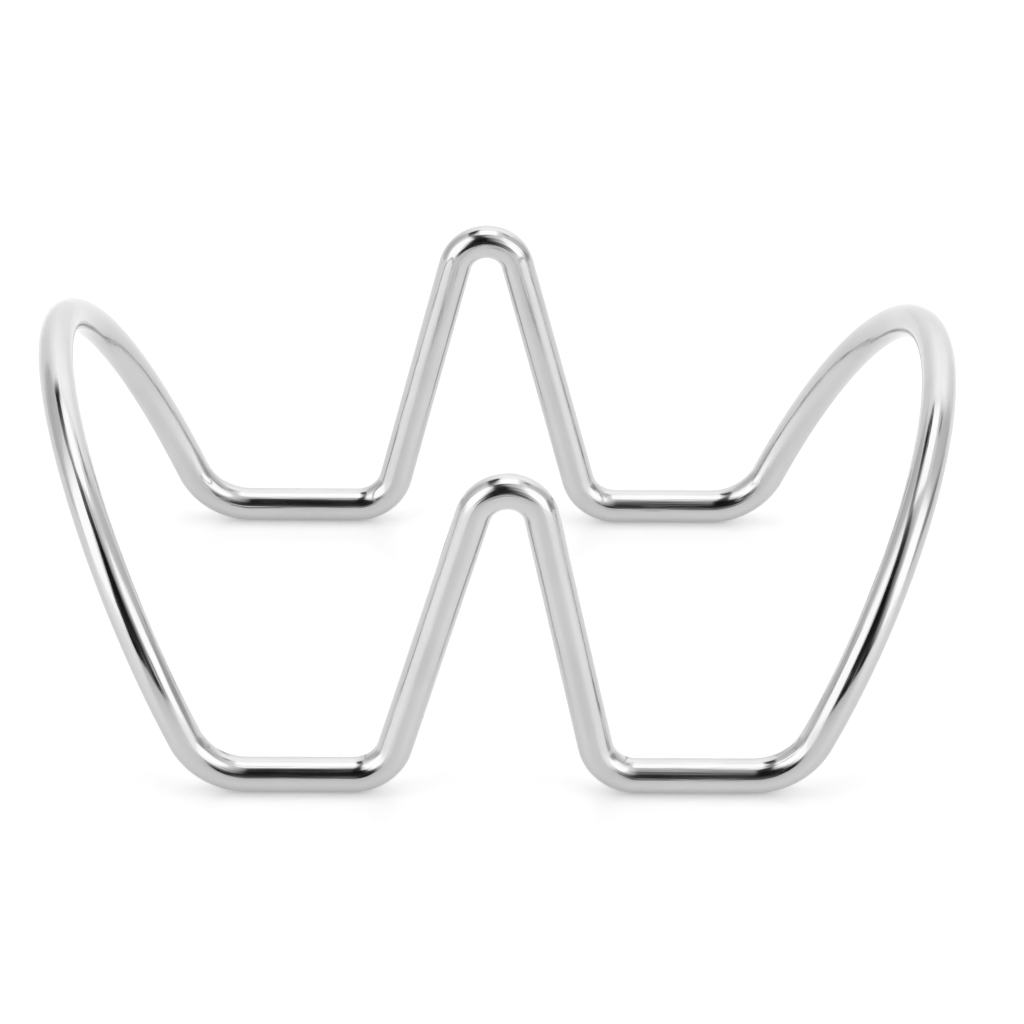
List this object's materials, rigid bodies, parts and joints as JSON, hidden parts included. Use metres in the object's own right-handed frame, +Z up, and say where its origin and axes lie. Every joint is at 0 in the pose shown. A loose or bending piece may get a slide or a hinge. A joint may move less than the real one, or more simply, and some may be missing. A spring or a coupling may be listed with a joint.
{
  "type": "taco holder",
  "caption": "Open wire rack that stands tacos upright: side frames with flat feet and a central arch, joined by half-round end bows that lean outwards.",
  "frame": {"origin": "on the table, under the middle of the loop", "axes": "+X along the side frames, from the left taco slot to the right one; +Y from the front side frame to the back one, along a standing taco's fold; +Z up"},
  "size_m": [0.1272, 0.0898, 0.0497],
  "materials": {
    "bright_wire": "bright polished steel wire, mirror-like, with faint drawing lines along it"
  },
  "bodies": {
    "root": {"wire_frame": "bright_wire"}
  },
  "joints": []
}
